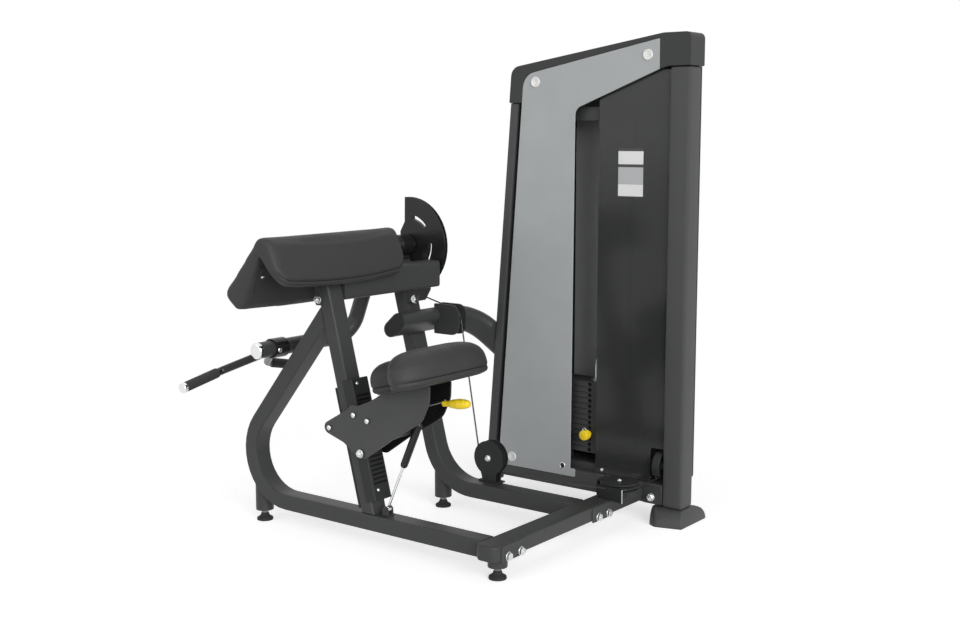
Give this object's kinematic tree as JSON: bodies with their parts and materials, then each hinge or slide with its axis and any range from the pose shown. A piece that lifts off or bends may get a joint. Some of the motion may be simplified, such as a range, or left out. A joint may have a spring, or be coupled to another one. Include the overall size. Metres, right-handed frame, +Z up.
{
  "type": "preacher curl machine",
  "caption": "Selectorised preacher curl machine: slanted seat and arm pad, swinging arm with a cam, and a cable run to a guided weight stack in a panelled tower.",
  "frame": {"origin": "middle of the footprint, on the floor", "axes": "+Z up, +X from the handles towards the seat's back, +Y towards the weight tower; the user faces -X"},
  "size_m": [1.195, 1.1394, 1.508],
  "materials": {
    "frame": "satin black powder coat",
    "gloss_black": "gloss black paint",
    "black_plastic": "moulded black",
    "pad": "grained upholstery vinyl over foam",
    "rubber": "matt black",
    "plate_grey": "satin grey",
    "chrome": "polished",
    "steel": "brushed",
    "panel_grey": "smooth light grey",
    "smoked": "clear smoked sheet",
    "yellow": "gloss yellow",
    "cast_iron": "black"
  },
  "bodies": {
    "frame": {"spine_tube": "frame", "seat_post": "frame", "outer_leg": "frame", "cross_bar": "frame", "upper_beam": "frame", "levelling_foot_front": "rubber", "levelling_foot_middle": "rubber", "levelling_foot_outer": "rubber", "levelling_foot_tower": "rubber", "adjust_rack": "black_plastic", "post_strip": "rubber", "arm_pad": "pad", "pad_bracket": "frame", "pivot_bearing": "frame", "spring_bracket": "black_plastic", "oval_tube": "frame", "oval_tube_cap": "black_plastic", "upper_pulley_housing": "black_plastic", "floor_pulley_bracket": "black_plastic", "corner_pulley_bracket": "black_plastic", "top_pulley_bracket": "frame", "tower_column": "frame", "tower_side_post": "frame", "tower_rail": "frame", "tower_head": "frame", "tower_base": "frame", "front_panel": "panel_grey", "shield": "smoked", "back_cover": "black_plastic", "top_beam": "frame", "stack_base": "cast_iron", "guide_rod_left": "chrome", "guide_rod_right": "chrome", "resting_plates": "cast_iron", "cable_run": "rubber", "cable_drop": "rubber"},
    "arm": {"pivot_shaft": "steel", "cam_plate": "gloss_black", "swing_arm": "gloss_black", "roll_tube_cap": "chrome"},
    "handle": {"handle_bar": "frame", "grip_near": "rubber", "grip_far": "rubber"},
    "seat": {"carriage_side_near": "plate_grey", "carriage_side_far": "plate_grey", "carriage_block": "black_plastic", "seat_pad": "pad"},
    "roller": {"front_roller": "rubber"},
    "lever": {"release_lever": "steel"},
    "spring_rod": {"gas_rod": "chrome"},
    "spring_cylinder": {"gas_cylinder": "black_plastic"},
    "stack": {"lifted_plates": "cast_iron"},
    "pin": {"selector_pin": "yellow"},
    "upper_wheel": {"upper_pulley": "black_plastic"},
    "floor_wheel": {"floor_pulley": "black_plastic"},
    "corner_wheel": {"corner_pulley": "black_plastic"},
    "tower_wheel": {"tower_pulley": "black_plastic"},
    "top_wheel_left": {"top_pulley_left": "black_plastic"},
    "top_wheel_right": {"top_pulley_right": "black_plastic"}
  },
  "joints": [
    {"name": "stack_lift", "type": "slide", "parent": "frame", "child": "stack", "axis": [0, 0, 1], "range_m": [0, 0.3335], "deforming": ["cable_drop"]},
    {"name": "arm_swing", "type": "hinge", "parent": "frame", "child": "arm", "pos_m": [-0.32277, -0.29394, 0.848], "axis": [0, 1, 0], "range_deg": [0, 130]},
    {"name": "handle_swivel", "type": "hinge", "parent": "arm", "child": "handle", "pos_m": [-0.43697, -0.29394, 0.55658], "axis": [0, 1, 0], "range_deg": [-28, 28]},
    {"name": "seat_slide", "type": "slide", "parent": "frame", "child": "seat", "axis": [-0.2504, 0, 0.9681], "range_m": [-0.07, 0.05]},
    {"name": "roller_spin", "type": "hinge", "parent": "seat", "child": "roller", "pos_m": [-0.16712, -0.29394, 0.352], "axis": [0, 1, 0], "continuous": true},
    {"name": "lever_lift", "type": "hinge", "parent": "seat", "child": "lever", "pos_m": [-0.02377, -0.29394, 0.393], "axis": [0, -1, 0], "range_deg": [0, 5]},
    {"name": "spring_tilt", "type": "hinge", "parent": "frame", "child": "spring_rod", "pos_m": [0.01123, -0.29394, 0.124], "axis": [0, 1, 0], "range_deg": [-9, 9]},
    {"name": "spring_stroke", "type": "slide", "parent": "spring_rod", "child": "spring_cylinder", "axis": [0.4099, 0, 0.9121], "range_m": [-0.06, 0.045]},
    {"name": "pin_pull", "type": "slide", "parent": "stack", "child": "pin", "axis": [0, -1, 0], "range_m": [0, 0.05]},
    {"name": "upper_pulley_turn", "type": "hinge", "parent": "frame", "child": "upper_wheel", "pos_m": [-0.13877, 0.20606, 0.618], "axis": [0, 1, 0], "continuous": true},
    {"name": "floor_pulley_turn", "type": "hinge", "parent": "frame", "child": "floor_wheel", "pos_m": [0.02723, 0.18606, 0.185], "axis": [0, 1, 0], "continuous": true},
    {"name": "corner_pulley_turn", "type": "hinge", "parent": "frame", "child": "corner_wheel", "pos_m": [0.44523, 0.28306, 0.14], "axis": [0, 0, 1], "continuous": true},
    {"name": "tower_pulley_turn", "type": "hinge", "parent": "frame", "child": "tower_wheel", "pos_m": [0.49523, 0.45806, 0.176], "axis": [1, 0, 0], "continuous": true},
    {"name": "top_pulley_left_turn", "type": "hinge", "parent": "frame", "child": "top_wheel_left", "pos_m": [0.26523, 0.49406, 1.338], "axis": [0, 1, 0], "continuous": true},
    {"name": "top_pulley_right_turn", "type": "hinge", "parent": "frame", "child": "top_wheel_right", "pos_m": [0.45923, 0.49406, 1.338], "axis": [0, 1, 0], "continuous": true}
  ],
  "couplings": [
    {"joint": "arm_swing", "follows": "stack_lift", "rad_per_m": 6.8027},
    {"joint": "upper_pulley_turn", "follows": "stack_lift", "rad_per_m": -34.483},
    {"joint": "floor_pulley_turn", "follows": "stack_lift", "rad_per_m": 22.222},
    {"joint": "corner_pulley_turn", "follows": "stack_lift", "rad_per_m": -20},
    {"joint": "tower_pulley_turn", "follows": "stack_lift", "rad_per_m": -27.778},
    {"joint": "top_pulley_left_turn", "follows": "stack_lift", "rad_per_m": 27.778},
    {"joint": "top_pulley_right_turn", "follows": "stack_lift", "rad_per_m": 27.778},
    {"joint": "roller_spin", "follows": "seat_slide", "rad_per_m": 40.816},
    {"joint": "spring_tilt", "follows": "seat_slide", "rad_per_m": -2.2},
    {"joint": "spring_stroke", "follows": "seat_slide", "ratio": 0.77}
  ]
}
